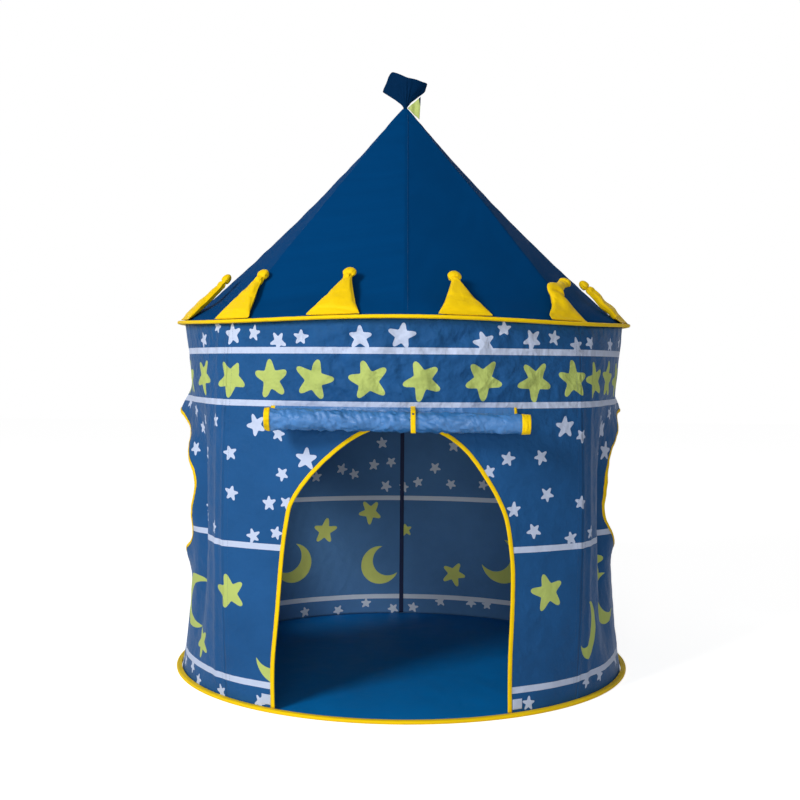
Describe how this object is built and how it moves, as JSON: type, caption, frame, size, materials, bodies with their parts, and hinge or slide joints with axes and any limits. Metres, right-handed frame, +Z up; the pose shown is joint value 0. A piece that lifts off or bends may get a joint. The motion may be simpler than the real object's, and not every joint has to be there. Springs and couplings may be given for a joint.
{
  "type": "kids play tent",
  "caption": "Round cloth play tent with a pointed pole-frame roof, a row of padded spikes, an arched doorway with a rolled flap and round side windows.",
  "frame": {"origin": "middle of the floor's underside, on the ground", "axes": "+Z up to the apex, doorway facing -Y, +X to the right of someone looking in through the doorway"},
  "size_m": [1.055, 1.0644, 1.387],
  "materials": {
    "wall_cloth": "matte",
    "roof_cloth": "matte",
    "floor_cloth": "satin",
    "flap_reverse": "satin",
    "yellow_cloth": "matte",
    "lime_cloth": "matte",
    "hook_and_loop": "matte",
    "navy_tape": "matte",
    "pole": "satin",
    "socket_plastic": "matte",
    "spring_steel": "satin"
  },
  "bodies": {
    "tent": {"apex_hub": "socket_plastic", "back_seam_tape": "navy_tape", "door_binding": "yellow_cloth", "door_flap_top": "flap_reverse", "door_patch_left": "hook_and_loop", "door_patch_right": "hook_and_loop", "eave_binding": "yellow_cloth", "eave_elbow_back_left": "socket_plastic", "eave_elbow_back_right": "socket_plastic", "eave_elbow_front_left": "socket_plastic", "eave_elbow_front_right": "socket_plastic", "eave_hoop": "spring_steel", "finial_collar": "roof_cloth", "finial_lining": "lime_cloth", "floor_binding": "yellow_cloth", "floor_hoop": "spring_steel", "floor_sheet": "floor_cloth", "roof_gore_back_left": "roof_cloth", "roof_gore_back_right": "roof_cloth", "roof_gore_front_left": "roof_cloth", "roof_gore_front_right": "roof_cloth", "roof_pole_back_left": "pole", "roof_pole_back_right": "pole", "roof_pole_front_left": "pole", "roof_pole_front_right": "pole", "wall_back": "wall_cloth", "wall_front": "wall_cloth", "wall_left": "wall_cloth", "wall_pole_lower_back_left": "pole", "wall_pole_lower_back_right": "pole", "wall_pole_lower_front_left": "pole", "wall_pole_lower_front_right": "pole", "wall_pole_upper_back_left": "pole", "wall_pole_upper_back_right": "pole", "wall_pole_upper_front_left": "pole", "wall_pole_upper_front_right": "pole", "wall_right": "wall_cloth", "wall_sleeve_back_left": "navy_tape", "wall_sleeve_back_right": "navy_tape", "wall_sleeve_front_left": "navy_tape", "wall_sleeve_front_right": "navy_tape", "window_binding_left": "yellow_cloth", "window_binding_right": "yellow_cloth"},
    "rolled_flap": {"door_roll": "flap_reverse", "door_roll_binding_left": "yellow_cloth", "door_roll_binding_right": "yellow_cloth"},
    "flap_tie": {"door_tie": "yellow_cloth"},
    "crown_spike_1": {"crown_point_1": "yellow_cloth"},
    "crown_spike_2": {"crown_point_2": "yellow_cloth"},
    "crown_spike_3": {"crown_point_3": "yellow_cloth"},
    "crown_spike_4": {"crown_point_4": "yellow_cloth"},
    "crown_spike_5": {"crown_point_5": "yellow_cloth"},
    "crown_spike_6": {"crown_point_6": "yellow_cloth"},
    "crown_spike_7": {"crown_point_7": "yellow_cloth"},
    "crown_spike_8": {"crown_point_8": "yellow_cloth"},
    "crown_spike_9": {"crown_point_9": "yellow_cloth"},
    "crown_spike_10": {"crown_point_10": "yellow_cloth"},
    "crown_spike_11": {"crown_point_11": "yellow_cloth"},
    "crown_spike_12": {"crown_point_12": "yellow_cloth"}
  },
  "joints": [
    {"name": "flap_drop", "type": "slide", "parent": "tent", "child": "rolled_flap", "axis": [0, 0, -1], "range_m": [0, 0.556], "deforming": ["door_flap_top"]},
    {"name": "tie_swing", "type": "hinge", "parent": "tent", "child": "flap_tie", "pos_m": [0.018, -0.49043, 0.61949], "axis": [-1, 0, 0], "range_deg": [0, 95]},
    {"name": "spike_fold_1", "type": "hinge", "parent": "tent", "child": "crown_spike_1", "pos_m": [0.13394, -0.49987, 0.79795], "axis": [0.9657, 0.2587, -0.0234], "range_deg": [0, 100]},
    {"name": "spike_fold_2", "type": "hinge", "parent": "tent", "child": "crown_spike_2", "pos_m": [0.36593, -0.36593, 0.7927], "axis": [0.7071, 0.7071, 0], "range_deg": [0, 100]},
    {"name": "spike_fold_3", "type": "hinge", "parent": "tent", "child": "crown_spike_3", "pos_m": [0.49987, -0.13394, 0.79795], "axis": [0.2587, 0.9657, 0.0234], "range_deg": [0, 100]},
    {"name": "spike_fold_4", "type": "hinge", "parent": "tent", "child": "crown_spike_4", "pos_m": [0.49987, 0.13394, 0.79795], "axis": [-0.2587, 0.9657, -0.0234], "range_deg": [0, 100]},
    {"name": "spike_fold_5", "type": "hinge", "parent": "tent", "child": "crown_spike_5", "pos_m": [0.36593, 0.36593, 0.7927], "axis": [-0.7071, 0.7071, 0], "range_deg": [0, 100]},
    {"name": "spike_fold_6", "type": "hinge", "parent": "tent", "child": "crown_spike_6", "pos_m": [0.13394, 0.49987, 0.79795], "axis": [-0.9657, 0.2587, 0.0234], "range_deg": [0, 100]},
    {"name": "spike_fold_7", "type": "hinge", "parent": "tent", "child": "crown_spike_7", "pos_m": [-0.13394, 0.49987, 0.79795], "axis": [-0.9657, -0.2587, -0.0234], "range_deg": [0, 100]},
    {"name": "spike_fold_8", "type": "hinge", "parent": "tent", "child": "crown_spike_8", "pos_m": [-0.36593, 0.36593, 0.7927], "axis": [-0.7071, -0.7071, 0], "range_deg": [0, 100]},
    {"name": "spike_fold_9", "type": "hinge", "parent": "tent", "child": "crown_spike_9", "pos_m": [-0.49987, 0.13394, 0.79795], "axis": [-0.2587, -0.9657, 0.0234], "range_deg": [0, 100]},
    {"name": "spike_fold_10", "type": "hinge", "parent": "tent", "child": "crown_spike_10", "pos_m": [-0.49987, -0.13394, 0.79795], "axis": [0.2587, -0.9657, -0.0234], "range_deg": [0, 100]},
    {"name": "spike_fold_11", "type": "hinge", "parent": "tent", "child": "crown_spike_11", "pos_m": [-0.36593, -0.36593, 0.7927], "axis": [0.7071, -0.7071, 0], "range_deg": [0, 100]},
    {"name": "spike_fold_12", "type": "hinge", "parent": "tent", "child": "crown_spike_12", "pos_m": [-0.13394, -0.49987, 0.79795], "axis": [0.9657, -0.2587, 0.0234], "range_deg": [0, 100]}
  ]
}
